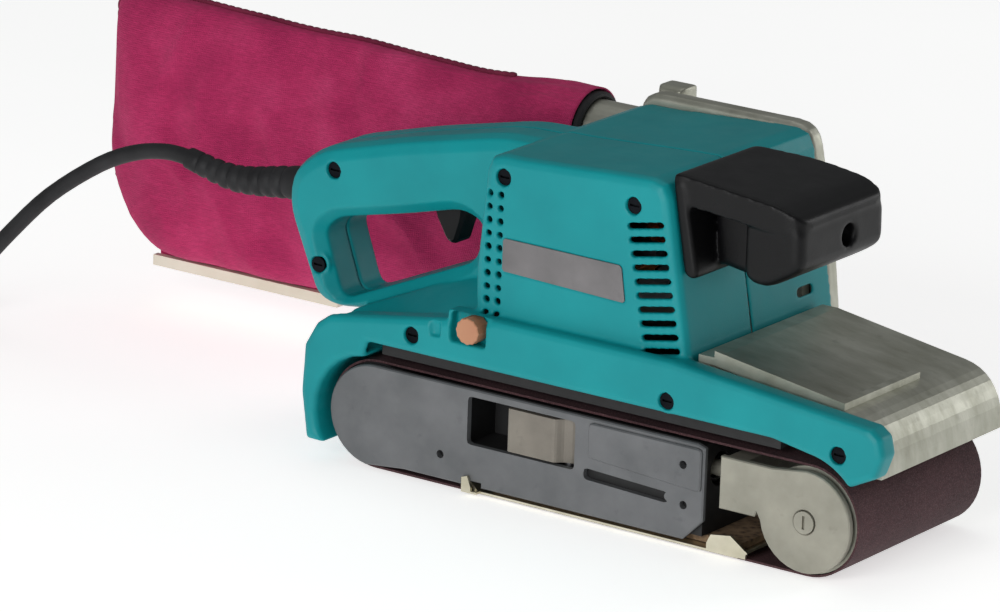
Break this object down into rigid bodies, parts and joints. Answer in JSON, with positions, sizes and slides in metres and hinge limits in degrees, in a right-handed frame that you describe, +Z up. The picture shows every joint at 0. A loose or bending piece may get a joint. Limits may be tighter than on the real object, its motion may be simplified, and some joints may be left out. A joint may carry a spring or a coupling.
{
  "type": "handheld belt sander",
  "caption": "Corded handheld belt sander with a rear D-handle, a front grip, a lever-tensioned sanding belt on two rollers and a cloth dust bag.",
  "frame": {"origin": "middle of the sanding face, between the two rollers and on the belt's centre line", "axes": "+X towards the front roller, +Y towards the drive side, +Z up; the sanding face is z = 0"},
  "size_m": [0.6549, 0.2475, 0.1631],
  "materials": {
    "teal_plastic": "textured satin",
    "black_plastic": "satin",
    "dark_plastic": "matt",
    "grey_plate": "satin",
    "light_cast": "fine cast",
    "cast": "brushed cast",
    "dark_cast": "matt black coat",
    "steel": "ground",
    "brassed_steel": "plated",
    "copper": "turned",
    "berry_cloth": "woven",
    "abrasive": "grit",
    "cork": "cork",
    "white_plastic": "satin",
    "rubber": "matt",
    "knob_orange": "satin",
    "label_grey": "satin"
  },
  "bodies": {
    "sander": {"housing_right": "teal_plastic", "housing_left": "teal_plastic", "label_plate": "label_grey", "main_frame": "dark_cast", "bearing_plate": "cast", "gear_housing": "cast", "belt_cover": "cast", "front_cover": "cast", "front_grip": "black_plastic", "grip_screw": "steel", "dust_nozzle": "cast", "cover_plate": "grey_plate", "lever_pin": "steel", "tension_spring": "steel", "rear_bearing_near": "steel", "rear_bearing_far": "steel", "shoe_plate": "brassed_steel", "cork_pad": "cork", "field_stator": "steel", "motor_bearing_near": "steel", "motor_bearing_far": "steel", "carbon_brush_front": "dark_plastic", "carbon_brush_rear": "dark_plastic", "drive_belt": "rubber", "switch_body": "dark_plastic", "cord_guard": "rubber", "cord": "rubber", "cord_coil": "rubber", "plug": "black_plastic", "housing_screw_1": "steel", "housing_screw_2": "steel", "housing_screw_3": "steel", "housing_screw_4": "steel", "housing_screw_5": "steel", "housing_screw_6": "steel", "housing_screw_7": "steel"},
    "trigger": {"trigger": "black_plastic"},
    "lock_button": {"lock_button": "black_plastic"},
    "tracking_knob": {"tracking_knob": "knob_orange"},
    "tension_lever": {"tension_lever": "light_cast"},
    "front_yoke": {"front_yoke": "light_cast", "front_axle": "steel"},
    "front_roller": {"front_roller": "cast", "front_bearing_near": "steel", "front_bearing_far": "steel"},
    "rear_roller": {"rear_roller": "rubber", "rear_shaft": "steel", "large_pulley": "steel"},
    "drive_gear": {"drive_gear": "steel", "small_pulley": "steel"},
    "armature": {"armature": "copper", "commutator": "copper", "fan": "dark_plastic", "pinion": "steel"},
    "sanding_belt": {"sanding_belt": "abrasive"},
    "dust_bag": {"dust_bag": "berry_cloth", "bag_collar": "rubber", "bag_rail": "white_plastic"}
  },
  "joints": [
    {"name": "trigger_press", "type": "slide", "parent": "sander", "child": "trigger", "axis": [0, 0, 1], "range_m": [0, 0.004], "stiffness_N_per_m": 900},
    {"name": "lock_button_press", "type": "slide", "parent": "sander", "child": "lock_button", "axis": [0, -1, 0], "range_m": [0, 0.003], "stiffness_N_per_m": 600},
    {"name": "tracking_turn", "type": "hinge", "parent": "sander", "child": "tracking_knob", "pos_m": [-0.058, -0.055, 0.077], "axis": [0, 1, 0], "range_deg": [-180, 180]},
    {"name": "lever_swing", "type": "hinge", "parent": "sander", "child": "tension_lever", "pos_m": [-0.012, -0.0465, 0.034], "axis": [0, 0, 1], "range_deg": [0, 60]},
    {"name": "yoke_slide", "type": "slide", "parent": "sander", "child": "front_yoke", "axis": [-1, 0, 0], "range_m": [0, 0.0055]},
    {"name": "front_roller_spin", "type": "hinge", "parent": "front_yoke", "child": "front_roller", "pos_m": [0.11323, 0, 0.025], "axis": [0, 1, 0], "continuous": true},
    {"name": "rear_roller_spin", "type": "hinge", "parent": "sander", "child": "rear_roller", "pos_m": [-0.11323, 0, 0.025], "axis": [0, 1, 0], "continuous": true},
    {"name": "drive_gear_spin", "type": "hinge", "parent": "sander", "child": "drive_gear", "pos_m": [-0.02516, 0.07, 0.10343], "axis": [0, 1, 0], "continuous": true},
    {"name": "armature_spin", "type": "hinge", "parent": "sander", "child": "armature", "pos_m": [-0.008, 0, 0.12], "axis": [0, 1, 0], "continuous": true},
    {"name": "belt_removal", "type": "slide", "parent": "sander", "child": "sanding_belt", "axis": [0, -1, 0], "range_m": [0, 0.11]},
    {"name": "bag_removal", "type": "slide", "parent": "sander", "child": "dust_bag", "axis": [-1, 0, 0], "range_m": [0, 0.05]}
  ],
  "couplings": [
    {"joint": "lever_swing", "follows": "yoke_slide", "rad_per_m": 190.39},
    {"joint": "front_roller_spin", "follows": "rear_roller_spin", "ratio": 1},
    {"joint": "drive_gear_spin", "follows": "rear_roller_spin", "ratio": 1.74},
    {"joint": "armature_spin", "follows": "rear_roller_spin", "ratio": -3.77}
  ]
}
